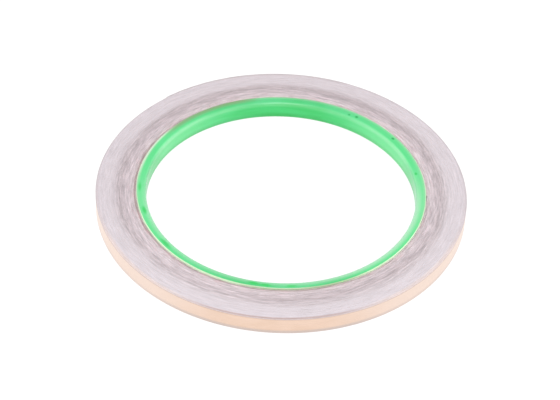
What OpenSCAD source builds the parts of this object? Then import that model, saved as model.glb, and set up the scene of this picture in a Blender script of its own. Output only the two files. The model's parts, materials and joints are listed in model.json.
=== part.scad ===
// Copper foil tape roll for stained glass work.
// One strip of foil, adhesive and paper liner is wound on a moulded core, foil side out.
// The inner turns are packed tight and are one solid; the last turns are three true layers.
// Millimetres, +Z up, bore axis on Z, the core's lower rim on Z = 0.

/* [Core] */
// Bore through the core
bore_d = 76.2; // [60:0.1:100]
// Radial wall of the core
core_wall = 2.8; // [1.2:0.1:4]
// Height of the core
core_h = 5.9; // [4.2:0.01:13]
// Rounding of the two edges beside the bore
bore_round = 1.2; // [0.1:0.05:1.4]
// Chamfer on the two outer edges
rim_chamfer = 0.25; // [0.05:0.01:0.4]

/* [Tape] */
// Width of the tape, centred on the core's height
tape_w = 5; // [4:0.01:12.7]
// Thickness of the copper foil
foil_t = 0.035; // [0.025:0.001:0.1]
// Thickness of the adhesive on the foil
adhesive_t = 0.03; // [0.02:0.001:0.08]
// Thickness of the paper liner
liner_t = 0.142; // [0.05:0.001:0.3]
// Full turns of tape on the core
wraps = 52; // [12:1:80]
// Last turns, which are built layer by layer
outer_wraps = 3; // [1:1:6]

/* [Inner end] */
// Arc of the glue film that holds the first turn, degrees
bond_arc = 22; // [8:1:60]
// Space for the glue film between core and first turn
bond_t = 0.06; // [0.03:0.01:0.2]

/* [Free end] */
// Where the free end leaves the roll, degrees from +X
root_a = 72; // [20:1:100]
// Arc of each of its three lengths, degrees
link_arc = 20; // [10:1:25]
// Arc of the last length over which foil and liner stay together
peel_arc = 7; // [3:1:8]
// Air between the free end and the turn under it
tail_air = 0.05; // [0.02:0.01:0.2]
// Gap at each bending line
bend_gap = 0.1; // [0.04:0.01:0.3]

/* [Hidden] */
// A hair of clearance between layers, so that each one stays its own solid
layer_gap = 0.002;
wrap_gap = 0.004;
// The strip from its inner to its outer face, and the growth in radius a turn
strip_t = liner_t + adhesive_t + foil_t + 2 * layer_gap;
pitch = strip_t + wrap_gap;
// Each layer's distance out from the strip's inner face
adhesive_off = liner_t + layer_gap;
foil_off = adhesive_off + adhesive_t + layer_gap;
// The core, and the strip's inner face where the winding starts
bore_r = bore_d / 2;
core_r = bore_r + core_wall;
start_r = core_r + bond_t + pitch / 4;
tape_z = (core_h - tape_w) / 2;
// Half turns inside the packed solid, counted from the core
packed_halves = 2 * (wraps - outer_wraps);
// The free end lies on the last turn, three lengths in a row
tail_r = turn_r(2 * wraps) + tail_air;
gap_a = bend_gap / tail_r * 180 / PI;
// Bending lines, the line where the foil starts to peel, and the cut end
mid_a = root_a + link_arc;
end_a = mid_a + link_arc;
peel_a = end_a + peel_arc;
cut_a = end_a + link_arc;
// Facets of a full circle in the preview
$fn = 160;

// Radius of the strip's inner face on half turn number k
function turn_r(k) = start_r + k * pitch / 2;

// An upright band of the tape's width: part of a ring, from angle a0 to a1
module band(cx, r, t, a0, a1) {
    translate([cx, 0, tape_z])
        rotate([0, 0, a0])
            rotate_extrude(angle = a1 - a0)
                translate([r, 0])
                    square([t, tape_w]);
}

// Half turn number k of a spiral, t thick from radius r out. Odd and even halves turn about
// two centres, half a pitch apart, so each half meets the next with a shared tangent.
module half_turn(k, r, t, sweep) {
    odd = k % 2;
    side = odd == 1 ? 1 : -1;
    band(side * pitch / 4, r, t, odd * 180, odd * 180 + sweep);
}

// One layer of the last turns: a single band from the packed turns to the root of the free end
module outer_layer(off, t) {
    union() {
        for (k = [packed_halves : 2 * wraps - 1])
            half_turn(k, turn_r(k) + off, t, 180);
        half_turn(2 * wraps, turn_r(2 * wraps) + off, t, root_a - gap_a / 2);
    }
}

// One layer of the free end, between two of its lines
module tail(a0, a1, off, t) {
    band(-pitch / 4, tail_r + off, t, a0 + gap_a / 2, a1 - gap_a / 2);
}

// The moulded ring that the tape is wound on
module core_ring() {
    color([0.45, 0.86, 0.57])
        rotate_extrude()
            difference() {
                union() {
                    translate([bore_r + bore_round, 0])
                        square([core_wall - bore_round, core_h]);
                    translate([bore_r, bore_round])
                        square([bore_round + 0.01, core_h - 2 * bore_round]);
                    translate([bore_r + bore_round, bore_round])
                        circle(r = bore_round);
                    translate([bore_r + bore_round, core_h - bore_round])
                        circle(r = bore_round);
                }
                for (z = [0, core_h])
                    translate([core_r, z])
                        rotate([0, 0, 45])
                            square(rim_chamfer * sqrt(2), center = true);
            }
}

// Glue film that holds the strip's inner end on the core
module start_bond() {
    color([0.75, 0.71, 0.6])
        band(0, core_r + layer_gap, bond_t - 2 * layer_gap, 0, bond_arc);
}

// The packed turns: two half rings on the spiral's two centres, trimmed to clear the glue film.
// The step where they meet, one strip high, is where the next turn begins.
module packed_turns() {
    color([0.86, 0.78, 0.76])
        difference() {
            for (k = [packed_halves - 2, packed_halves - 1])
                half_turn(k, bore_r, turn_r(k) + strip_t - bore_r, 180);
            translate([0, 0, tape_z - 1])
                cylinder(h = tape_w + 2, r = core_r + bond_t);
        }
}

// The last turns' three layers, from inside to outside
module liner_turns() {
    color([0.9, 0.86, 0.82])
        outer_layer(0, liner_t);
}

module adhesive_turns() {
    color([0.8, 0.76, 0.7])
        outer_layer(adhesive_off, adhesive_t);
}

module foil_turns() {
    color([0.88, 0.62, 0.46])
        outer_layer(foil_off, foil_t);
}

// First length of the free end: it swings out from the roll
module liner_lead() {
    color([0.9, 0.86, 0.82])
        tail(root_a, mid_a, 0, liner_t);
}

module adhesive_lead() {
    color([0.8, 0.76, 0.7])
        tail(root_a, mid_a, adhesive_off, adhesive_t);
}

module foil_lead() {
    color([0.88, 0.62, 0.46])
        tail(root_a, mid_a, foil_off, foil_t);
}

// Second length: it straightens as the first one lifts
module liner_mid() {
    color([0.9, 0.86, 0.82])
        tail(mid_a, end_a, 0, liner_t);
}

module adhesive_mid() {
    color([0.8, 0.76, 0.7])
        tail(mid_a, end_a, adhesive_off, adhesive_t);
}

module foil_mid() {
    color([0.88, 0.62, 0.46])
        tail(mid_a, end_a, foil_off, foil_t);
}

// Last length: foil and liner are still together at its start
module liner_end() {
    color([0.9, 0.86, 0.82])
        tail(end_a, cut_a, 0, liner_t);
}

module adhesive_end() {
    color([0.8, 0.76, 0.7])
        tail(end_a, peel_a, adhesive_off, adhesive_t);
}

module foil_end() {
    color([0.88, 0.62, 0.46])
        tail(end_a, peel_a, foil_off, foil_t);
}

// The cut end of foil and adhesive, which peels away from the liner
module adhesive_tip() {
    color([0.8, 0.76, 0.7])
        tail(peel_a, cut_a, adhesive_off, adhesive_t);
}

module foil_tip() {
    color([0.88, 0.62, 0.46])
        tail(peel_a, cut_a, foil_off, foil_t);
}

core_ring();
start_bond();
packed_turns();
liner_turns();
adhesive_turns();
foil_turns();
liner_lead();
adhesive_lead();
foil_lead();
liner_mid();
adhesive_mid();
foil_mid();
liner_end();
adhesive_end();
foil_end();
adhesive_tip();
foil_tip();
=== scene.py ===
# %% [markdown]
# # A roll of copper foil tape
# Makers of stained glass wrap the rim of every piece of glass in a thin copper tape, so that
# solder has something to hold on to. The tape comes as a roll: a ring of green plastic with one
# long strip wound round it. The strip has three layers, which are copper foil, a film of
# adhesive and a paper liner. This lesson starts from the CAD model of the roll and gives
# every layer its true form and finish.

# %% Load the CAD model
import json
import math

import bpy
import numpy as np
from mathutils import Matrix, Vector


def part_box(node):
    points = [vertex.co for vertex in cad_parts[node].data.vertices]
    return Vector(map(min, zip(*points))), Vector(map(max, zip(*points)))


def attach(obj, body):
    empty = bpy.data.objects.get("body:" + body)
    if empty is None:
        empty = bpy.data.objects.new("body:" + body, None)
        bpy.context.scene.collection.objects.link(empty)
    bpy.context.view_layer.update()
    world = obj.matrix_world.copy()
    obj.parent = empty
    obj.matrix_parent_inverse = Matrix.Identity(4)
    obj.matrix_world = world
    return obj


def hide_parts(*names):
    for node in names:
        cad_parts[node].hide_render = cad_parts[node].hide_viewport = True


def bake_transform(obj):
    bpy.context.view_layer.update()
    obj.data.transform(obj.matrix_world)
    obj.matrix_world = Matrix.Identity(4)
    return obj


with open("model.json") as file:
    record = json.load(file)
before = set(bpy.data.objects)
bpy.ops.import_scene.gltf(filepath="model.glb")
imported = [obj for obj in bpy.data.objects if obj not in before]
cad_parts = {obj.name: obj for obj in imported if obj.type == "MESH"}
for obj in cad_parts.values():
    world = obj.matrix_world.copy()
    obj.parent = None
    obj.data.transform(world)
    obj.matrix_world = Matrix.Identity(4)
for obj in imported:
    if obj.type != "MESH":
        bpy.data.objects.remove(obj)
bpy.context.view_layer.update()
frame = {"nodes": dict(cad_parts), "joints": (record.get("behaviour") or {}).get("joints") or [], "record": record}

ROLL = "roll"

# %% [markdown]
# ## Sizes
# A strip this thin is easier to think about in millimetres, and Blender works in metres, so one
# constant turns one into the other. The sizes of the core and the height of the tape are read
# from the model's own boxes. The thickness of each layer is the tape's recipe: almost all of it
# is paper, and the copper is thinner than a hair.

# %% Read the sizes of core and tape
MM = 0.001
core_low, core_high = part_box("core_ring")
pack_low, pack_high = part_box("packed_turns")
BORE = frame["record"]["mounts"][0]["dims"]["r_mm"] * MM
CORE_R, CORE_TOP = core_high[0], core_high[2]
TAPE_LOW, TAPE_TOP = pack_low[2], pack_high[2]
LINER, ADHESIVE, FOIL = 0.142 * MM, 0.030 * MM, 0.035 * MM
HAIR, WRAP_AIR, GLUE = 0.002 * MM, 0.004 * MM, 0.060 * MM
STRIP = LINER + ADHESIVE + FOIL + 2 * HAIR
PITCH = STRIP + WRAP_AIR
LAYERS = {
    "liner": (0.0, LINER),
    "adhesive": (LINER + HAIR, LINER + HAIR + ADHESIVE),
    "foil": (STRIP - FOIL, STRIP),
}
print(f"core radius {CORE_R / MM:.1f} mm, tape {(TAPE_TOP - TAPE_LOW) / MM:.2f} mm wide")
print(f"strip {STRIP / MM:.3f} mm thick, {PITCH / MM:.3f} mm a turn")

# %% [markdown]
# ## The line that the tape follows
# A wound strip is a spiral. The model draws it with half circles, odd ones round one centre and
# even ones round another, half a pitch apart. Each half circle then runs into the next with no
# kink. The same rule is written here, so that the outer turns lie exactly where the CAD's
# are. Only the first eight turns settle a little closer: the strip is pulled tight round the core,
# and climbs over its own cut end in one short step. Counting back from the outer boxes gives the
# number of turns.

# %% The spiral's radius and centre at any angle
START_R = CORE_R + GLUE + PITCH / 4
FULL = 2 * math.pi
CLIMB, SETTLED = math.radians(5), 8


def spiral(angle):
    """Centre on X and inner radius of the strip, after turning through this angle from its start."""
    half = np.floor(angle / math.pi + 1e-9)
    turn = np.floor(angle / FULL + 1e-9)
    along = angle - turn * FULL
    even = half % 2 == 0
    risen = np.where(even, 1 - np.cos(along), 3 + np.cos(along)) / 4
    step = np.clip(1 - (FULL - along) / CLIMB, 0, 1)
    tight = np.clip(1 - turn / SETTLED, 0, 1) * (risen - step * step * (3 - 2 * step))
    return np.where(even, -1.0, 1.0) * PITCH / 4, START_R + half * PITCH / 2 - tight * PITCH


def turns_up_to(node, side):
    """Whole turns inside a node's highest X, which is where a turn ends."""
    return round((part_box(node)[1][0] - START_R - STRIP + side * PITCH / 4) / PITCH)


PACKED = turns_up_to("packed_turns", 1)
TURNS = turns_up_to("foil_turns", 1)
print(f"{TURNS} turns, {PACKED} of them packed inside")

# %% [markdown]
# ## The free end
# The last few centimetres of the strip come away from the roll when somebody pulls on them. The
# joints of the model say where: the strip bends at three lines, and at a fourth one the copper
# peels off its liner. Each line's angle round the roll comes straight from its joint.

# %% Angles of the bending lines
joint_at = {j["name"]: j["pos_m"] for j in frame["joints"]}


def line_angle(joint):
    """Angle round the roll of a joint's line."""
    x, y, _ = joint_at[joint]
    return math.atan2(y, x + PITCH / 4)


ROOT, MID, END, PEEL = [line_angle(j) for j in ("tail_lift", "mid_bend", "end_bend", "liner_peel")]
CUT = 2 * END - MID
OUT = math.hypot(joint_at["tail_lift"][0] + PITCH / 4, joint_at["tail_lift"][1])
TAIL_AIR = OUT - STRIP - (START_R + TURNS * PITCH)
print(f"free end from {math.degrees(ROOT):.0f} to {math.degrees(CUT):.0f} degrees")
print(f"air under it {TAIL_AIR / MM:.3f} mm")

# %% [markdown]
# ## Building a layer
# Each layer is a long thin band. Blender's curve tools could sweep a rectangle along a path, but the band needs
# its own height at every turn, because real tape wanders up and down by a few hundredths of a millimetre as it is
# wound. So the mesh is made here one point at a time. At each station round the spiral stands a closed loop of
# points, up the inner wall and down the outer one, and neighbouring loops are joined by quads. The cut edges, top
# and bottom, get a material slot of their own, because a cut shows the inside of a layer.


# %% How the winding wanders
def wander(angle, radius):
    """Heights of the strip's two cut edges where it passes this angle, in metres."""
    slow = np.sin(0.61 * angle + 0.4) + 0.7 * np.sin(1.93 * angle + 2.1)
    quick = 0.5 * np.sin(5.3 * angle + 1.0) + 0.35 * np.sin(11.7 * angle + 0.2)
    outward = (radius - CORE_R) / MM
    rough = 0.6 + 0.4 * np.sin(3.1 * angle + 0.8) * np.sin(7.9 * angle)
    dip = 0.05 * rough * np.exp(-(((outward - 4.3) / 1.1) ** 2))
    crushed = 0.10 * np.exp(-((outward / 0.55) ** 4))
    slip = 0.006 * (slow + quick) - dip
    return TAPE_LOW + slip * MM, TAPE_TOP + (slip - crushed) * MM


# %% The points of a band
def band_points(layer, angle, centre, inner, rows):
    """At each angle a closed loop of points, up the layer's inner wall and down its outer one."""
    low, high = LAYERS[layer]
    bottom, top = wander(angle, inner)
    share = np.linspace(0, 1, rows + 1)
    loops = []
    for radius, heights in ((inner + low, share), (inner + high, share[::-1])):
        for h in heights:
            z = bottom + h * (top - bottom)
            loops.append(np.stack([centre + radius * np.cos(angle), radius * np.sin(angle), z], 1))
    return np.stack(loops, 1)


# %% The faces of a band
def band_faces(count, rows):
    """Quads between neighbouring loops, then both end caps, and which of them are cut edges."""
    around = 2 * (rows + 1)
    station = np.arange(count - 1)[:, None] * around
    here = station + np.arange(around)[None, :]
    after = station + (np.arange(around)[None, :] + 1) % around
    quads = np.stack([here, after, after + around, here + around], -1).reshape(-1, 4)
    cut_edge = np.tile([i in (rows, around - 1) for i in range(around)], count - 1)
    caps = []
    for base, turned in ((0, True), ((count - 1) * around, False)):
        for i in range(rows):
            cap = [base + i, base + i + 1, base + around - 2 - i, base + around - 1 - i]
            caps.append(cap[::-1] if turned else cap)
    return quads.tolist() + caps, np.concatenate([cut_edge, np.ones(len(caps), bool)])


# %% A band of one layer
def band(name, layer, start, stop, steps, rows=1, rise=None, materials=()):
    """A strip of one layer between two angles, as a closed mesh with its cut edges in slot 1."""
    count = max(3, int(math.ceil((stop - start) / FULL * steps)) + 1)
    angle = np.linspace(start, stop, count)
    centre, inner = spiral(angle)
    if rise is not None:
        centre, inner = np.full(count, -PITCH / 4), np.full(count, START_R + TURNS * PITCH) + rise(angle)
    points = band_points(layer, angle, centre, inner, rows)
    faces, cut_edge = band_faces(count, rows)
    mesh = bpy.data.meshes.new(name)
    mesh.from_pydata(points.reshape(-1, 3).tolist(), [], faces)
    mesh.polygons.foreach_set("material_index", cut_edge.astype(np.int32))
    mesh.polygons.foreach_set("use_smooth", np.ones(len(faces), bool))
    mesh.set_sharp_from_angle(angle=math.radians(40))
    mesh.update()
    for material in materials:
        mesh.materials.append(material)
    piece = bpy.data.objects.new(name, mesh)
    bpy.context.scene.collection.objects.link(piece)
    return piece


# %% [markdown]
# ## Node helpers
# All finishes are made of shader nodes. A few short helpers keep the recipes readable: one adds a
# node and fills in its inputs, one starts a material with a Principled shader, and the others do
# sums and mix colours. A number that is the same all over a surface goes straight onto the shader.


# %% Add and link shader nodes
def add(tree, kind, inputs=None, **settings):
    """Add a node. An input given as a socket is linked, anything else is set."""
    node = tree.nodes.new(kind)
    for key, value in settings.items():
        setattr(node, key, value)
    for key, value in (inputs or {}).items():
        if isinstance(value, bpy.types.NodeSocket):
            tree.links.new(value, node.inputs[key])
        else:
            node.inputs[key].default_value = value
    return node


def new_material(name, **fixed):
    """A material with one Principled shader, whose fixed inputs are given by name."""
    material = bpy.data.materials.new(name)
    material.use_nodes = True
    tree = material.node_tree
    shader = tree.nodes["Principled BSDF"]
    for key, value in fixed.items():
        shader.inputs[key.replace("_", " ").title().replace("Ior", "IOR")].default_value = value
    return material, tree, shader


# %% Sums and mixtures
def maths(tree, operation, a, b=0.0):
    """One Math node's result."""
    return add(tree, "ShaderNodeMath", {0: a, 1: b}, operation=operation).outputs[0]


def times(tree, a, b):
    """a multiplied by b, such as one mask limited by another."""
    return maths(tree, "MULTIPLY", a, b)


def minus(tree, a, b):
    """a less b."""
    return maths(tree, "SUBTRACT", a, b)


def mix(tree, factor, a, b, blend="MIX"):
    """Mix two colours."""
    node = add(tree, "ShaderNodeMix", data_type="RGBA", blend_type=blend)
    for socket, value in ((0, factor), (6, a), (7, b)):
        if isinstance(value, bpy.types.NodeSocket):
            tree.links.new(value, node.inputs[socket])
        else:
            node.inputs[socket].default_value = value
    return node.outputs[2]


def tint(tree, factor, colour, by):
    """Multiply a colour by another one, as far as the factor says."""
    return mix(tree, factor, colour, by, "MULTIPLY")


# %% [markdown]
# ## Places on the roll, for the shaders
# Everything on a roll runs in circles, so the recipes need the distance from the axis and the
# direction round it. Both come from the object's own coordinates. Noise that is fed with the
# direction, and with the distance many times enlarged, comes out as streaks that follow the turns
# and close on themselves without a seam.


# %% Radius, direction and streaks
def place(tree):
    """(distance from the axis in mm, unit direction, height in mm) of the shaded point."""
    where = add(tree, "ShaderNodeTexCoord").outputs["Object"]
    flat = add(tree, "ShaderNodeVectorMath", {0: where, 1: (1, 1, 0)}, operation="MULTIPLY").outputs[0]
    radius = add(tree, "ShaderNodeVectorMath", {0: flat}, operation="LENGTH").outputs["Value"]
    heading = add(tree, "ShaderNodeVectorMath", {0: flat}, operation="NORMALIZE").outputs[0]
    height = add(tree, "ShaderNodeSeparateXYZ", {0: where}).outputs[2]
    return times(tree, radius, 1 / MM), heading, times(tree, height, 1 / MM)


def streaks(tree, heading, across, around, fine, detail=3.0, rough=0.55):
    """Noise drawn out along the turns: `around` sets how often it changes on the way round, `fine`
    how quickly it changes across, where `across` is a distance in mm."""
    steps = times(tree, across, fine)
    spread = add(tree, "ShaderNodeVectorMath", {0: heading, "Scale": around}, operation="SCALE").outputs[0]
    deep = add(tree, "ShaderNodeCombineXYZ", {2: steps}).outputs[0]
    vector = add(tree, "ShaderNodeVectorMath", {0: spread, 1: deep}, operation="ADD").outputs[0]
    noise = {"Vector": vector, "Scale": 1.0, "Detail": detail, "Roughness": rough}
    return add(tree, "ShaderNodeTexNoise", noise).outputs[0]


# %% [markdown]
# ## Masks
# A mask is a number between 0 and 1 that says how strongly something shows at a point. Most wear
# and shading below is a mask by distance times a mask by direction. Three helpers make them: a
# smooth step between two values, a soft stripe round one value, and how squarely a point's
# direction on the roll faces a chosen one.


# %% Smooth steps, stripes and directions
def between(tree, value, low, high, to_low=0.0, to_high=1.0):
    """Map a value smoothly from one range to another."""
    node = add(tree, "ShaderNodeMapRange", {0: value, 1: low, 2: high, 3: to_low, 4: to_high})
    node.interpolation_type = "SMOOTHSTEP"
    return node.outputs[0]


def stripe(tree, value, middle, full, faded, most=1.0, least=0.0):
    """`most` within the distance `full` of a middle value, fading to `least` at `faded`."""
    return between(tree, maths(tree, "ABSOLUTE", minus(tree, value, middle)), full, faded, most, least)


def facing(tree, heading, towards):
    """1 where the direction round the roll is the given one, and -1 on the opposite side."""
    dot = add(tree, "ShaderNodeVectorMath", {0: heading, 1: towards}, operation="DOT_PRODUCT")
    return dot.outputs["Value"]


def compass(tree, heading):
    """The direction's parts: to the right, how far to either side, and ahead."""
    parts = add(tree, "ShaderNodeSeparateXYZ", {0: heading})
    return parts.outputs[0], maths(tree, "ABSOLUTE", parts.outputs[0]), parts.outputs[1]


# %% [markdown]
# ## Tone of the flat sides
# The two flat sides of the roll are the cut edges of every turn, side by side. They aren't even.
# Near the core the turns look a little greyer and pinker. Four millimetres out is a darker patchy ring, where the
# mesh also dips slightly, and the last turns are clean and pale. The ring is simply painted darker by distance.
# Why is a guess: the pull while winding and later handling may both have a part. The tone is a colour ramp by
# distance from the core, broken up by streaks along the turns. Every layer's edge colour is multiplied by it, so
# that all three layers darken together.

# %% Colours of the tone, by share of the wound depth
WOUND = 11.4
TONES = (
    (0.00, (0.92, 0.86, 0.85)),
    (0.12, (0.93, 0.875, 0.88)),
    (0.26, (0.91, 0.865, 0.87)),
    (0.37, (0.80, 0.755, 0.76)),
    (0.46, (0.81, 0.77, 0.77)),
    (0.60, (0.94, 0.925, 0.935)),
    (1.00, (0.96, 0.95, 0.965)),
)
BLUSH = (1.0, 0.84, 0.86, 1)
print(f"tone ramp: {len(TONES)} colours over {WOUND} mm")


# %% Rings and streaks
def winding_tone(tree, heading, radius, outward):
    """The ramp by distance outward, its streaks, and a pink blush near the core."""
    wobble = times(tree, minus(tree, streaks(tree, heading, radius, 2.6, 0.9), 0.5), 3.0)
    depth = maths(tree, "DIVIDE", maths(tree, "ADD", outward, wobble), WOUND)
    ramp = add(tree, "ShaderNodeValToRGB", {0: depth})
    while len(ramp.color_ramp.elements) < len(TONES):
        ramp.color_ramp.elements.new(0.5)
    for element, (at, colour) in zip(ramp.color_ramp.elements, TONES):
        element.position, element.color = at, (*colour, 1)
    lines = streaks(tree, heading, radius, 9.0, 2.2, detail=5.0, rough=0.75)
    lines = times(tree, minus(tree, lines, 0.5), between(tree, outward, 5.0, 7.0, 1.0, 0.38))
    tone = tint(tree, 1.0, ramp.outputs[0], maths(tree, "ADD", times(tree, lines, 1.9), 1.0))
    blush = between(tree, streaks(tree, heading, radius, 12.0, 1.7, detail=3.0), 0.52, 0.70, 0.0, 0.8)
    return tint(tree, times(tree, blush, between(tree, outward, 0.8, 3.4, 1.0, 0.0)), tone, BLUSH)


# %% [markdown]
# ## Sides and rim of the tone
# The tone also changes on the way round. The middle ring is painted greyer at the back left and at the front
# right; at the back left this is partly the winding's own tone and partly painted shade. Beside the core a brown
# seam is painted between the turns, partly the dark edges of the first turns and partly painted shade in the gap
# next to the core. The outermost turns are painted brighter on the near half, which is a painted highlight, with a
# warm dark line just inside the rim, and on the far half the rim is painted a little grey, which is painted shade.
# All of it is painted, fixed to the roll. That is a shortcut: it stays put when the view or the lamps move, and
# under quite different lamps it will look like stains.

# %% Directions and colours of the sides
DARK_SIDE, DARKER = (-0.42, 0.91, 0.0), (0.86, 0.84, 0.85, 1)
NEAR_SIDE, GREYER = (0.80, -0.60, 0.0), (0.88, 0.87, 0.87, 1)
SEAM_SIDE, SEAM_BROWN_AND_SHADE = (-0.71, -0.71, 0.0), (0.52, 0.38, 0.34, 1)
# A painted highlight for the last turns, a warm line, and a grey painted shade for the far rim.
LAST_TURNS_HIGHLIGHT, RIM_WARM, RIM_GREY_SHADE = (1.16, 1.10, 1.02, 1), (0.72, 0.58, 0.52, 1), (0.80, 0.80, 0.79, 1)
print("darkest towards", DARK_SIDE[:2])


# %% Sides of the roll
def side_tone(tree, heading, outward, tone):
    """Darken the tone where it faces the dark side, the near side and the seam, partly as painted shade."""
    # Darker towards the back left on the middle ring: partly painted shade.
    far = between(tree, facing(tree, heading, DARK_SIDE), -0.8, 1.0)
    far = times(tree, far, stripe(tree, outward, 4.2, 1.0, 3.6, 1.0, 0.3))
    tone = tint(tree, times(tree, far, 0.9), tone, DARKER)
    close = between(tree, facing(tree, heading, NEAR_SIDE), -0.2, 0.7)
    tone = tint(tree, times(tree, stripe(tree, outward, 3.3, 0.5, 1.7), close), tone, GREYER)
    # The brown seam beside the core: partly dark turn edges, partly painted shade in the gap next to the core.
    seam = between(tree, facing(tree, heading, SEAM_SIDE), -0.5, 0.6, 0.0, 0.55)
    return tint(tree, times(tree, stripe(tree, outward, 0.45, 0.15, 0.42), seam), tone, SEAM_BROWN_AND_SHADE)


# %% Rim of the roll
def rim_tone(tree, heading, outward, tone):
    """Paint a highlight on the last turns, and draw the warm line and the grey painted shade at the rim."""
    to_rim = minus(tree, (OUT - CORE_R) / MM, outward)
    _, sideways, ahead = compass(tree, heading)
    near_half = between(tree, ahead, 0.15, -0.15)
    # The last turns, brighter on the near half: a painted highlight.
    last_turns_highlight = times(tree, between(tree, to_rim, 1.6, 0.6), between(tree, sideways, 0.35, 0.62))
    last_turns_highlight = times(tree, last_turns_highlight, times(tree, near_half, between(tree, sideways, 0.99, 0.88)))
    tone = tint(tree, last_turns_highlight, tone, LAST_TURNS_HIGHLIGHT)
    warm = between(tree, sideways, 0.25, 0.55, 0.9, 0.15)
    warm = times(tree, stripe(tree, to_rim, 0.62, 0.10, 0.50), warm)
    warm = times(tree, warm, maths(tree, "ADD", times(tree, near_half, 0.85), 0.15))
    tone = tint(tree, warm, tone, RIM_WARM)
    # A grey line on the far half of the rim: painted shade.
    grey = times(tree, between(tree, to_rim, 0.62, 0.25), between(tree, ahead, -0.45, 0.05, 0.0, 0.7))
    return tint(tree, grey, tone, RIM_GREY_SHADE)


# %% The whole tone
def edge_tone(tree):
    """A colour to multiply a cut edge by, and the distance outward from the core in mm."""
    radius, heading, _ = place(tree)
    outward = minus(tree, radius, CORE_R / MM)
    tone = winding_tone(tree, heading, radius, outward)
    tone = side_tone(tree, heading, outward, tone)
    return rim_tone(tree, heading, outward, tone), outward


# %% [markdown]
# ## Copper foil
# Rolled copper is a bright metal with very fine lines along its length. The outer wall shows it
# broadside. A metallic shader takes its colour from the surroundings, so in a white studio the wall
# turns a warm peach. Towards the roll's two sides the reflections alone don't pale it enough, so
# the copper's own colour is made paler there by direction. This is paint that stands in for light.

# %% Copper, broadside
copper, tree, shader = new_material("rolled_copper", metallic=1.0)
_, heading, height = place(tree)
_, sideways, _ = compass(tree, heading)
rolling = streaks(tree, heading, height, 1.5, 9.0, detail=5.0, rough=0.6)
stain = streaks(tree, heading, height, 7.0, 0.35, detail=2.0)
warm = mix(tree, between(tree, stain, 0.35, 0.68), (0.81, 0.600, 0.475, 1), (0.77, 0.560, 0.430, 1))
warm = mix(tree, between(tree, sideways, 0.2, 0.7), warm, (0.85, 0.69, 0.60, 1))
warm = mix(tree, between(tree, rolling, 0.35, 0.7, 0.0, 0.4), warm, (0.90, 0.72, 0.62, 1))
tree.links.new(between(tree, rolling, 0.3, 0.7, 0.26, 0.40), shader.inputs["Roughness"])
bump = add(tree, "ShaderNodeBump", {"Height": rolling, "Strength": 0.06, "Distance": 0.00002})
tree.links.new(bump.outputs[0], shader.inputs["Normal"])
print("copper before its edges:", len(tree.nodes), "nodes")

# %% [markdown]
# ## Painted shade along the copper's edges
# The wall isn't one even colour from top to bottom. A thin greyish line is painted along both edges of the foil,
# and the lower one is broader. Both are painted shade and painted reflection: the shadow under the lower edge and
# the dark gap beside each edge mirrored in the copper. Here they are simply painted by height.

# %% Copper, the painted shade along its edges
top_line = between(tree, minus(tree, TAPE_TOP / MM, height), 0.45, 0.10, 0.0, 0.45)
low_line = between(tree, minus(tree, height, TAPE_LOW / MM), 1.35, 0.45, 0.0, 0.75)
low_line = times(tree, low_line, between(tree, sideways, 0.3, 0.75, 1.0, 0.45))
warm = mix(tree, top_line, warm, (0.50, 0.40, 0.37, 1))
warm = mix(tree, low_line, warm, (0.56, 0.49, 0.47, 1))
tree.links.new(warm, shader.inputs["Base Color"])
print("copper:", len(tree.nodes), "nodes")

# %% Copper, cut edge
copper_edge, tree, shader = new_material("copper_cut_edge", metallic=0.35, roughness=0.5)
tone, outward = edge_tone(tree)
# The first turn's copper edge is painted dark red-brown: partly its own colour, partly painted shade in the gap
# beside the core.
first_turn = between(tree, outward, 0.3, 0.7, 1.0, 0.0)
edge = mix(tree, first_turn, (0.66, 0.47, 0.41, 1), (0.36, 0.17, 0.13, 1))
tree.links.new(tint(tree, 1.0, edge, tone), shader.inputs["Base Color"])
print("copper edge:", len(tree.nodes), "nodes")

# %% [markdown]
# ## Paper liner and adhesive
# The liner is smooth release paper, nearly white. Its face carries a faint fibre pattern, and its
# cut edge is what makes most of the roll's flat side. The adhesive is a clear film. It looks a
# little grey where it is seen edge-on, and where the foil is peeled the copper shines through it.

# %% Paper, face
paper, tree, shader = new_material("liner_paper", roughness=0.55)
_, heading, height = place(tree)
fibres = streaks(tree, heading, height, 60.0, 2.2, detail=6.0, rough=0.65)
tree.links.new(mix(tree, fibres, (0.83, 0.80, 0.76, 1), (0.90, 0.88, 0.85, 1)), shader.inputs["Base Color"])
bump = add(tree, "ShaderNodeBump", {"Height": fibres, "Strength": 0.15, "Distance": 0.00002})
tree.links.new(bump.outputs[0], shader.inputs["Normal"])
print("paper:", len(tree.nodes), "nodes")

# %% Paper, cut edge
paper_edge, tree, shader = new_material("paper_cut_edge", roughness=0.6)
tone, _ = edge_tone(tree)
tree.links.new(tint(tree, 1.0, (0.84, 0.80, 0.86, 1), tone), shader.inputs["Base Color"])
print("paper edge:", len(tree.nodes), "nodes")

# %% Adhesive, cut edge
sticky, tree, shader = new_material("adhesive_film", roughness=0.25, coat_weight=0.3)
tone, _ = edge_tone(tree)
tree.links.new(tint(tree, 1.0, (0.62, 0.56, 0.56, 1), tone), shader.inputs["Base Color"])
print("adhesive edge:", len(tree.nodes), "nodes")

# %% Adhesive on copper
backing, tree, shader = new_material("adhesive_on_copper", metallic=0.6, roughness=0.38, coat_weight=0.6)
_, heading, height = place(tree)
cloudy = streaks(tree, heading, height, 45.0, 1.6, detail=4.0)
clear, milky = (0.72, 0.53, 0.43, 1), (0.80, 0.66, 0.58, 1)
tree.links.new(mix(tree, between(tree, cloudy, 0.35, 0.70), clear, milky), shader.inputs["Base Color"])
print("adhesive on copper:", len(tree.nodes), "nodes")

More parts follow.
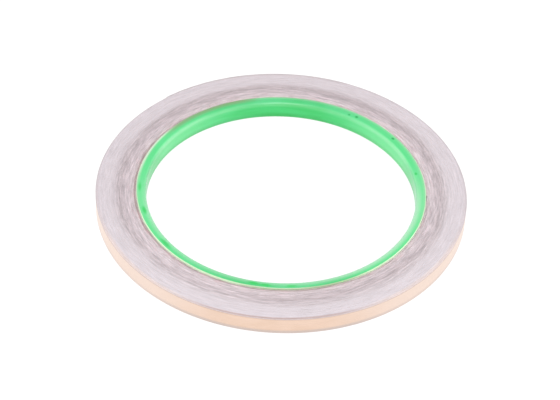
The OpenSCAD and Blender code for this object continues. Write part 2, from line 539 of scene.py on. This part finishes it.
# %% The dab of glue under the first turn
glue, tree, shader = new_material("dried_glue", roughness=0.3)
_, heading, height = place(tree)
blot = streaks(tree, heading, height, 30.0, 1.5)
tree.links.new(mix(tree, blot, (0.62, 0.56, 0.42, 1), (0.78, 0.74, 0.60, 1)), shader.inputs["Base Color"])
print("glue:", len(tree.nodes), "nodes")

# %% [markdown]
# ## The wound strip
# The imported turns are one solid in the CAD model, which is right for its weight and for what
# bumps into it. To the eye they are the same strip as the outer turns, so here they get their true
# layers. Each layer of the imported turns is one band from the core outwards, and the last turns are
# bands of their own with more rows, because their outer wall is seen. The number of steps in a full
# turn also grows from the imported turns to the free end, which has to bend.

# %% Wind the layers
COARSE, FINE, FINEST = 300, 360, 720
FINISH = {"liner": (paper, paper_edge), "adhesive": (backing, sticky), "foil": (copper, copper_edge)}
BEFORE_ROOT = math.radians(4)
for layer in LAYERS:
    inner = band(f"packed_{layer}", layer, 0, PACKED * FULL, COARSE, materials=FINISH[layer])
    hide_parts("packed_turns")
    outer = band(
        f"outer_{layer}", layer, PACKED * FULL, TURNS * FULL + ROOT - BEFORE_ROOT, FINE,
        rows=6 if layer == "foil" else 2, materials=FINISH[layer],
    )
    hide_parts(f"{layer}_turns")
    for piece in (inner, outer):
        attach(piece, ROLL)
    print(layer, len(inner.data.polygons) + len(outer.data.polygons), "faces")

# %% [markdown]
# ## The free end, in lengths
# The free end is laid on the roll in four lengths, one round each bending line, and rises from the roll to its own
# small clearance at its root. Each length's row also lists how far a bend there would reach before and after its
# line, though nothing below reads it. The two middle bends would be gentle and spread out, as in springy tape. At
# the root and at the peeling line the bend would be short and begin almost on the line itself, because whatever
# lies before these two lines is still held down.


# %% How the free end leaves the roll
def free_end_rise(angle):
    """The free end rises from the roll's surface to its own small clearance."""
    rise = np.clip((angle - ROOT + BEFORE_ROOT) / BEFORE_ROOT, 0, 1)
    return TAIL_AIR * rise * rise * (3 - 2 * rise)


# %% The lengths, their lines, and how many degrees each bend reaches before and after its line
DEGREE = math.radians(1)
lead_end, mid_end, tip_start = (ROOT + MID) / 2, (MID + END) / 2, PEEL - 1.5 * DEGREE
lengths = [
    ("lead", ROOT - BEFORE_ROOT, lead_end, ROOT, (-1.5, 2.9), ROLL, "tail_lead"),
    ("mid", lead_end, mid_end, MID, (-9.9, 9.9), "tail_lead", "tail_mid"),
    ("end", mid_end, tip_start, END, (-5.4, 5.4), "tail_mid", "tail_end"),
    ("tip", tip_start, CUT, PEEL, (-0.9, 1.3), "tail_end", "foil_peel"),
]
print("free end:", round(math.degrees(CUT - ROOT)), "degrees long, in", len(lengths), "lengths")

# %% Lay the free end on the roll
for layer in LAYERS:
    for part, start, stop, line, reach, before, after in lengths:
        if layer == "liner" and part == "tip":
            continue
        if layer == "liner" and part == "end":
            stop = CUT
        piece = band(
            f"{layer}_{part}_bend", layer, start, stop, FINEST,
            rows=4, rise=free_end_rise, materials=FINISH[layer],
        )
        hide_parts(f"{layer}_{part}")
        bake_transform(piece)
        print(piece.name, len(piece.data.polygons), "faces, from", before, "to", after)

# %% [markdown]
# ## The core
# The core is one moulded ring of light green plastic. It is turned here like a piece on a lathe:
# its outline is a closed loop of points, and the loop is swept round the axis in many steps, so
# that the bore looks truly round. The two edges beside the bore are well rounded and catch the
# light, and the two outer edges have a small chamfer.

# %% The core's outline
ROUND = (CORE_TOP - frame["record"]["mounts"][0]["dims"]["length_mm"] * MM) / 2
CHAMFER = 0.25 * MM


def core_outline():
    """Points of half a cross-section, as (radius, height), anticlockwise."""
    points = []
    for centre_z, begin in ((ROUND, 180), (CORE_TOP - ROUND, 90)):
        arc = [math.radians(begin + 90 * i / 10) for i in range(11)]
        turn = [(BORE + ROUND + ROUND * math.cos(a), centre_z + ROUND * math.sin(a)) for a in arc]
        points.append(turn)
    bottom_arc, top_arc = points
    outer = [(CORE_R - CHAMFER, 0), (CORE_R, CHAMFER)]
    outer += [(CORE_R, CORE_TOP - CHAMFER), (CORE_R - CHAMFER, CORE_TOP)]
    return bottom_arc + outer + top_arc


print(len(core_outline()), "points, rounding", round(ROUND / MM, 2), "mm")


# %% A small lathe
def lathe(name, outline, steps, material):
    """Sweep a closed outline round Z."""
    around = len(outline)
    angles = np.arange(steps) * FULL / steps
    turned = [(r * math.cos(t), r * math.sin(t), z) for t in angles for r, z in outline]
    quads = []
    for i in range(steps):
        here, there = i * around, (i + 1) % steps * around
        for j in range(around):
            k = (j + 1) % around
            quads.append((here + j, there + j, there + k, here + k))
    mesh = bpy.data.meshes.new(name)
    mesh.from_pydata(turned, [], quads)
    mesh.polygons.foreach_set("use_smooth", np.ones(len(quads), bool))
    mesh.set_sharp_from_angle(angle=math.radians(35))
    mesh.materials.append(material)
    mesh.update()
    piece = bpy.data.objects.new(name, mesh)
    bpy.context.scene.collection.objects.link(piece)
    return piece


# %% [markdown]
# ## Green plastic
# The plastic is a little glossy and a little translucent: light that enters it comes out again close by, which a
# small subsurface weight gives. The flow of the plastic in its mould leaves soft bands of a slightly different
# green. The two sides of the ring are painted a brighter green than the back, which is painted light.

# %% The plastic's green
plastic, tree, shader = new_material(
    "green_plastic", roughness=0.28, subsurface_weight=0.12, coat_weight=0.10,
)
shader.inputs["Subsurface Radius"].default_value = (0.0006, 0.0020, 0.0010)
shader.inputs["Subsurface Scale"].default_value = 1.0
shader.inputs["Coat Roughness"].default_value = 0.12
radius, heading, height = place(tree)
_, sideways, ahead = compass(tree, heading)
flow = streaks(tree, heading, height, 3.0, 0.5, detail=2.0)
green = mix(tree, between(tree, flow, 0.35, 0.65), (0.070, 0.605, 0.195, 1), (0.105, 0.655, 0.255, 1))
# Brighter green towards the two sides: painted light.
sides = between(tree, sideways, 0.25, 0.95)
green = mix(tree, times(tree, sides, 0.85), green, (0.115, 0.765, 0.275, 1))
ripple = add(tree, "ShaderNodeBump", {"Height": flow, "Strength": 0.3, "Distance": 0.0003})
tree.links.new(ripple.outputs[0], shader.inputs["Normal"])
print("plain green:", len(tree.nodes), "nodes")

# %% [markdown]
# ## Wall of the bore
# The inner wall is painted a deeper green than the flat rim at the back, and paler at the sides. Light and colour
# can't be fully told apart here, and both go into the colour: the deeper green is partly painted shade inside the
# bore, and the paler sides are a painted sheen, where the wall is seen at a grazing angle.

# %% The wall of the bore
# Deeper green on the wall, partly painted shade, and a painted sheen towards the sides.
inner_wall = between(tree, radius, BORE / MM + 0.05, BORE / MM + 0.45, 0.9, 0.0)
deep_green = mix(tree, between(tree, sideways, 0.05, 0.60), (0.34, 0.90, 0.58, 1), (0.70, 0.96, 0.82, 1))
green = tint(tree, inner_wall, green, deep_green)
pale_wall = times(tree, inner_wall, between(tree, sideways, 0.35, 0.85, 0.0, 0.14))
green = mix(tree, pale_wall, green, (0.62, 0.86, 0.70, 1))
print("with the wall:", len(tree.nodes), "nodes")

# %% [markdown]
# ## Painted highlight on the rounding
# The rounded edge beside the bore is painted pale, most of all on the near side: a painted highlight, where the
# rounding catches the light.
# This paleness needs a measure of its own. Distance from the bore less depth below the top
# falls steadily from the flat rim, through the rounding, down the inner wall, so one number says
# where on the profile a point lies.

# %% The painted highlight on the rounding
profile = minus(tree, minus(tree, radius, BORE / MM), minus(tree, CORE_TOP / MM, height))
# A pale band along the crease, stronger at the sides: painted highlight.
crease_highlight = stripe(tree, profile, -0.62, 0.1, 1.3)
crease_highlight = times(tree, crease_highlight, maths(tree, "ADD", times(tree, sides, 0.14), 0.15))
uneven = streaks(tree, heading, height, 6.0, 0.8)
crease_highlight = times(tree, crease_highlight, between(tree, uneven, 0.3, 0.65, 0.75, 1.2))
green = mix(tree, crease_highlight, green, (0.58, 0.94, 0.68, 1))
# Paler on the near side of the rounding: painted highlight.
near_rounding_highlight = times(tree, between(tree, profile, 2.5, 0.2, 0.0, 0.46), between(tree, ahead, 0.25, -0.45))
green = mix(tree, near_rounding_highlight, green, (0.62, 0.88, 0.70, 1))
# Paler at the front right of the rounding: painted highlight.
front_right_highlight = between(tree, facing(tree, heading, (0.82, -0.57, 0.0)), 0.55, 0.95, 0.0, 0.34)
front_right_highlight = times(tree, front_right_highlight, between(tree, profile, 2.5, 0.4))
green = mix(tree, front_right_highlight, green, (0.70, 0.88, 0.74, 1))
print("with the rounding:", len(tree.nodes), "nodes")

# %% [markdown]
# ## Deeper green low down and at the sides
# The bright table and the side lamps light the lower wall and the far left and right of the bore
# more than they should. The colour is darkened there to make up for it, which is again shade that
# is painted. A better studio would not need it.

# %% Darken the low and the side walls
far_wall = times(tree, inner_wall, between(tree, sideways, 0.88, 0.99))
green = tint(tree, far_wall, green, (0.50, 0.80, 0.66, 1))
near_table = between(tree, height, 0.7, 2.7, 0.85, 0.0)
green = tint(tree, near_table, green, (0.66, 0.74, 0.66, 1))
print("with the shade:", len(tree.nodes), "nodes")

# %% [markdown]
# ## Outer lip
# The thin outer lip, against which the tape lies, is painted pale nearly all the way round, a painted highlight on
# its small chamfer. Just inside it the rim is painted paler on the far half, with a paler patch at the left, which
# is painted highlight too. At the back left lip and rim are painted olive, which is painted shade from the gap
# beside the tape. Only at the front is the lip painted darker.

# %% The outer lip
OUTER = CORE_R / MM
# Paler rim just inside the lip on the far half: painted highlight.
rim_edge_highlight = between(tree, radius, OUTER - 1.3, OUTER - 0.25, 0.0, 0.30)
green = mix(tree, times(tree, rim_edge_highlight, between(tree, ahead, -0.55, 0.05)), green, (0.66, 0.80, 0.62, 1))
# A paler patch at the left: painted highlight.
left_rim_highlight = times(tree, between(tree, facing(tree, heading, (-0.90, 0.43, 0.0)), 0.90, 0.99), 0.75)
left_rim_highlight = times(tree, left_rim_highlight, between(tree, radius, OUTER - 1.0, OUTER - 0.3))
green = mix(tree, left_rim_highlight, green, (0.78, 0.92, 0.74, 1))
# Olive at the back left: painted shade from the gap beside the tape.
gap_shade_side = between(tree, facing(tree, heading, (-0.57, 0.82, 0.0)), 0.90, 0.97)
gap_shade = times(tree, gap_shade_side, between(tree, radius, OUTER - 2.4, OUTER - 0.6, 0.0, 0.75))
green = mix(tree, gap_shade, green, (0.22, 0.34, 0.15, 1))
# The lip: pale as a painted highlight on its chamfer, painted darker at the front, and olive painted shade at the
# back left.
front_of_lip = between(tree, facing(tree, heading, (-0.17, 0.985, 0.0)), -0.86, -0.985)
lip = mix(tree, front_of_lip, (0.72, 0.92, 0.63, 1), (0.44, 0.58, 0.36, 1))
lip = mix(tree, gap_shade_side, lip, (0.34, 0.36, 0.18, 1))
green = mix(tree, between(tree, radius, OUTER - 0.26, OUTER - 0.14), green, lip)
print("with the lip:", len(tree.nodes), "nodes")

# %% [markdown]
# ## Flecks and patches
# A few dark flecks show where the pigment didn't mix, and fresher green patches are drawn out along
# the rim by the flow of the plastic. Each is a small ellipse: a mapping node moves the point being
# shaded into the fleck's own place and scale, and its length then tells how far from the middle of
# the fleck it is.

# %% Flecks and patches: distance from the axis, direction, half width and half length in mm, strength
FLECKS = (
    (38.90, 60.8, 0.45, 0.60, 0.8),
    (39.20, 57.3, 0.60, 0.75, 1.0),
    (39.65, 36.8, 0.60, 0.75, 1.0),
)
PATCHES = (
    (39.10, 12.7, 0.60, 0.90, 0.9),
    (39.75, -99.2, 0.80, 2.40, 1.0),
    (39.90, -94.6, 0.70, 2.30, 0.9),
    (39.95, -84.5, 0.65, 2.40, 0.7),
    (39.90, -177.0, 0.70, 2.60, 0.7),
    (39.60, -162.6, 0.80, 2.40, 0.9),
    (39.85, -141.0, 0.80, 3.40, 0.8),
)
DARK_FLECK, FRESH_GREEN = (0.01, 0.40, 0.09, 1), (0.030, 0.62, 0.12, 1)
spots = [(spot, DARK_FLECK) for spot in FLECKS] + [(spot, FRESH_GREEN) for spot in PATCHES]
print(len(FLECKS), "dark flecks,", len(PATCHES), "fresh patches")

# %% Draw them
where = add(tree, "ShaderNodeTexCoord").outputs["Object"]
for (distance, degrees, half_width, half_length, strength), colour in spots:
    t = math.radians(degrees)
    own = add(tree, "ShaderNodeMapping", {
        "Vector": where,
        "Location": (distance * MM * math.cos(t), distance * MM * math.sin(t), CORE_TOP),
        "Rotation": (0, 0, t),
        "Scale": (half_width * MM, half_length * MM, half_width * MM),
    }, vector_type="TEXTURE").outputs[0]
    away = add(tree, "ShaderNodeVectorMath", {0: own}, operation="LENGTH").outputs["Value"]
    green = mix(tree, between(tree, away, 0.2, 1.0, strength, 0.0), green, colour)
tree.links.new(green, shader.inputs["Base Color"])
print("plastic:", len(tree.nodes), "nodes")

# %% Put the core in place and finish the glue
core = lathe("green_core", core_outline(), 480, plastic)
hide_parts("core_ring")
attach(core, ROLL)
for material_slot in frame["nodes"]["start_bond"].material_slots:
    material_slot.material = glue
print("core:", len(core.data.polygons), "faces")

# %% [markdown]
# ## Table, light and camera
# The roll lies on a plain white table in a bright studio with soft light from everywhere. A white
# world does most of the work. Three large soft lamps, one in front and above and a weaker one at
# either side, add a little direction. The table is dark grey, but gives off nearly white light of
# its own. So it stays white, takes almost no shadow, and lights the roll from below, like a glowing
# table for small goods. The camera looks down at about forty degrees through a long lens, and is
# turned a little about its own axis.

# %% White table
floor_mesh = bpy.data.meshes.new("table")
floor_mesh.from_pydata([(-2, -2, 0), (2, -2, 0), (2, 2, 0), (-2, 2, 0)], [], [(0, 1, 2, 3)])
table = bpy.data.objects.new("table", floor_mesh)
bpy.context.scene.collection.objects.link(table)
white, tree, shader = new_material("white_table", roughness=0.9, emission_strength=0.92)
shader.inputs["Base Color"].default_value = (0.15, 0.15, 0.15, 1)
shader.inputs["Emission Color"].default_value = (1, 1, 1, 1)
floor_mesh.materials.append(white)
print("table:", round(table.dimensions.x, 1), "m wide")

# %% White world
world = bpy.data.worlds.new("bright_studio")
world.use_nodes = True
world.node_tree.nodes["Background"].inputs["Color"].default_value = (1, 1, 1, 1)
world.node_tree.nodes["Background"].inputs["Strength"].default_value = 0.72
bpy.context.scene.world = world
print("world strength:", world.node_tree.nodes["Background"].inputs["Strength"].default_value)


# %% Soft lamps
def soft_lamp(name, place_at, aim, size, watts):
    """A square area lamp that points at a spot."""
    lamp = bpy.data.lights.new(name, "AREA")
    lamp.size, lamp.energy = size, watts
    holder = bpy.data.objects.new(name, lamp)
    holder.location = place_at
    holder.rotation_euler = (Vector(aim) - Vector(place_at)).to_track_quat("-Z", "Y").to_euler()
    bpy.context.scene.collection.objects.link(holder)


soft_lamp("front_lamp", (0, -0.56, 0.56), (0, 0, 0), 0.45, 2.4)
soft_lamp("right_lamp", (0.72, 0.18, 0.34), (0, 0, 0), 0.40, 1.0)
soft_lamp("left_lamp", (-0.72, 0.18, 0.34), (0, 0, 0), 0.40, 1.0)
print("lamps:", [light.name for light in bpy.data.lights])

# %% Camera
DISTANCE, ELEVATION, TWIST = 0.5988, math.radians(41.63), math.radians(2.468)
AIM = Vector((-0.00024, 0.0, 0.00126))
camera_data = bpy.data.cameras.new("camera")
camera_data.sensor_width, camera_data.lens = 36.0, 135.6
camera_data.clip_start, camera_data.clip_end = 0.01, 10
camera = bpy.data.objects.new("camera", camera_data)
camera.location = (0, -DISTANCE * math.cos(ELEVATION), DISTANCE * math.sin(ELEVATION))
look = (AIM - camera.location).to_track_quat("-Z", "Y").to_matrix().to_4x4()
camera.matrix_world = Matrix.Translation(camera.location) @ look @ Matrix.Rotation(TWIST, 4, "Z")
bpy.context.scene.collection.objects.link(camera)
bpy.context.scene.camera = camera
bpy.context.scene.view_settings.view_transform = "Standard"
print("camera:", [round(c, 3) for c in camera.location], "m")
